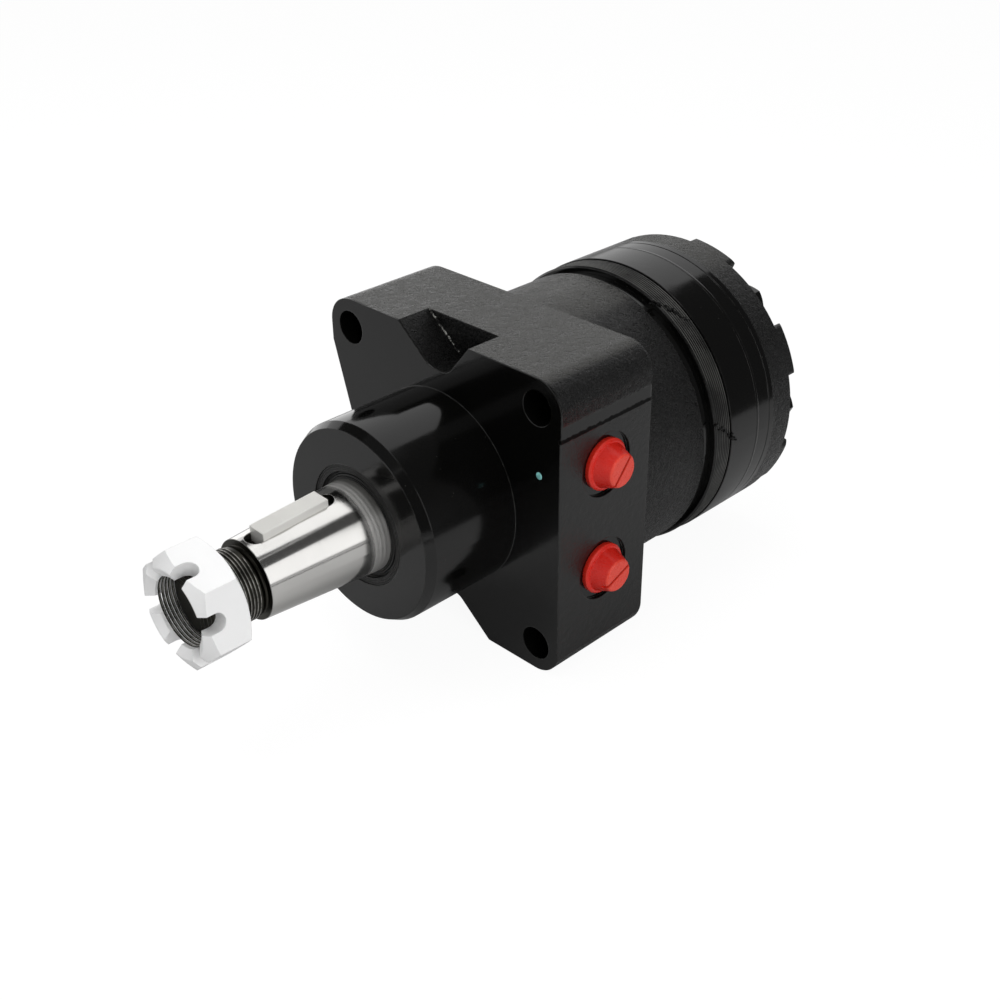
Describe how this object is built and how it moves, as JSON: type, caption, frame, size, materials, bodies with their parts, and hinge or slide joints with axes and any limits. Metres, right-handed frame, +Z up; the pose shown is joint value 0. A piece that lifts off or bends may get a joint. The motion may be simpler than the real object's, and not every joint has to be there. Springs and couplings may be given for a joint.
{
  "type": "hydraulic motor",
  "caption": "Low-speed orbital hydraulic motor with a square mounting flange, plugged side oil ports and a keyed tapered output shaft with a castle nut.",
  "frame": {"origin": "where the shaft axis meets the front face of the mounting flange, at the centre of the four mounting holes", "axes": "+Y runs back along the shaft axis, away from the output end; +X points out of the port side; +Z is up, towards the upper port"},
  "size_m": [0.1363, 0.2828, 0.1286],
  "materials": {
    "black_paint": "gloss",
    "ridged_paint": "satin",
    "bolt_paint": "satin",
    "ground_steel": "polished",
    "key_steel": "satin",
    "zinc": "zinc plated",
    "bearing_steel": "ground",
    "cage_steel": "pressed",
    "hard_steel": "ground",
    "spring_steel": "blued",
    "seal_rubber": "matt",
    "plug_plastic": "satin"
  },
  "bodies": {
    "casing": {"housing": "black_paint", "dust_seal": "seal_rubber", "seal_snap_ring": "spring_steel", "shaft_seal": "seal_rubber", "backup_washer": "hard_steel", "front_bearing_cup": "bearing_steel", "rear_bearing_cup": "bearing_steel", "rear_snap_ring": "spring_steel", "wear_plate": "ridged_paint", "stator_ring": "black_paint", "manifold": "black_paint", "body_seals": "seal_rubber", "valve_ring": "hard_steel", "balance_plate": "hard_steel", "disc_spring": "spring_steel", "end_cover": "black_paint", "cover_bolts": "bolt_paint"},
    "shaft": {"output_shaft": "ground_steel", "shaft_key": "key_steel", "castle_nut": "zinc", "front_bearing_cone": "bearing_steel", "rear_bearing_cone": "bearing_steel"},
    "front_cage": {"front_bearing_cage": "cage_steel", "front_bearing_rollers": "bearing_steel"},
    "rear_cage": {"rear_bearing_cage": "cage_steel", "rear_bearing_rollers": "bearing_steel"},
    "valve": {"rotary_valve": "hard_steel"},
    "rotor": {"rotor": "hard_steel", "rotor_journal": "hard_steel"},
    "drive_link": {"drive_link": "hard_steel"},
    "upper_port_plug": {"upper_port_plug": "plug_plastic"},
    "lower_port_plug": {"lower_port_plug": "plug_plastic"},
    "stator_roller_1": {"stator_roller_1": "hard_steel"},
    "stator_roller_2": {"stator_roller_2": "hard_steel"},
    "stator_roller_3": {"stator_roller_3": "hard_steel"},
    "stator_roller_4": {"stator_roller_4": "hard_steel"},
    "stator_roller_5": {"stator_roller_5": "hard_steel"},
    "stator_roller_6": {"stator_roller_6": "hard_steel"},
    "stator_roller_7": {"stator_roller_7": "hard_steel"}
  },
  "joints": [
    {"name": "shaft_spin", "type": "hinge", "parent": "casing", "child": "shaft", "pos_m": [0, 0, 0], "axis": [0, 1, 0], "continuous": true},
    {"name": "front_cage_spin", "type": "hinge", "parent": "casing", "child": "front_cage", "pos_m": [0, -0.017, 0], "axis": [0, 1, 0], "continuous": true},
    {"name": "rear_cage_spin", "type": "hinge", "parent": "casing", "child": "rear_cage", "pos_m": [0, 0.071, 0], "axis": [0, 1, 0], "continuous": true},
    {"name": "valve_orbit", "type": "hinge", "parent": "casing", "child": "valve", "pos_m": [0, 0.13685, 0], "axis": [0, 1, 0], "continuous": true},
    {"name": "rotor_spin", "type": "hinge", "parent": "valve", "child": "rotor", "pos_m": [0, 0.11515, 0.0029], "axis": [0, 1, 0], "continuous": true},
    {"name": "drive_link_spin", "type": "hinge", "parent": "valve", "child": "drive_link", "pos_m": [0, 0.0485, 0], "axis": [0, 0.999, 0.0451], "continuous": true},
    {"name": "stator_roller_1_spin", "type": "hinge", "parent": "casing", "child": "stator_roller_1", "pos_m": [0.02973, 0.11515, 0.01432], "axis": [0, 1, 0], "continuous": true},
    {"name": "stator_roller_2_spin", "type": "hinge", "parent": "casing", "child": "stator_roller_2", "pos_m": [0.00734, 0.11515, 0.03217], "axis": [0, 1, 0], "continuous": true},
    {"name": "stator_roller_3_spin", "type": "hinge", "parent": "casing", "child": "stator_roller_3", "pos_m": [-0.02057, 0.11515, 0.0258], "axis": [0, 1, 0], "continuous": true},
    {"name": "stator_roller_4_spin", "type": "hinge", "parent": "casing", "child": "stator_roller_4", "pos_m": [-0.033, 0.11515, 0], "axis": [0, 1, 0], "continuous": true},
    {"name": "stator_roller_5_spin", "type": "hinge", "parent": "casing", "child": "stator_roller_5", "pos_m": [-0.02057, 0.11515, -0.0258], "axis": [0, 1, 0], "continuous": true},
    {"name": "stator_roller_6_spin", "type": "hinge", "parent": "casing", "child": "stator_roller_6", "pos_m": [0.00734, 0.11515, -0.03217], "axis": [0, 1, 0], "continuous": true},
    {"name": "stator_roller_7_spin", "type": "hinge", "parent": "casing", "child": "stator_roller_7", "pos_m": [0.02973, 0.11515, -0.01432], "axis": [0, 1, 0], "continuous": true},
    {"name": "upper_plug_pull", "type": "slide", "parent": "casing", "child": "upper_port_plug", "axis": [1, 0, 0], "range_m": [0, 0.03]},
    {"name": "lower_plug_pull", "type": "slide", "parent": "casing", "child": "lower_port_plug", "axis": [1, 0, 0], "range_m": [0, 0.03]}
  ],
  "couplings": [
    {"joint": "front_cage_spin", "follows": "shaft_spin", "ratio": 0.4494},
    {"joint": "rear_cage_spin", "follows": "shaft_spin", "ratio": 0.4494},
    {"joint": "valve_orbit", "follows": "shaft_spin", "ratio": -6},
    {"joint": "rotor_spin", "follows": "shaft_spin", "ratio": 7},
    {"joint": "drive_link_spin", "follows": "shaft_spin", "ratio": 7}
  ]
}
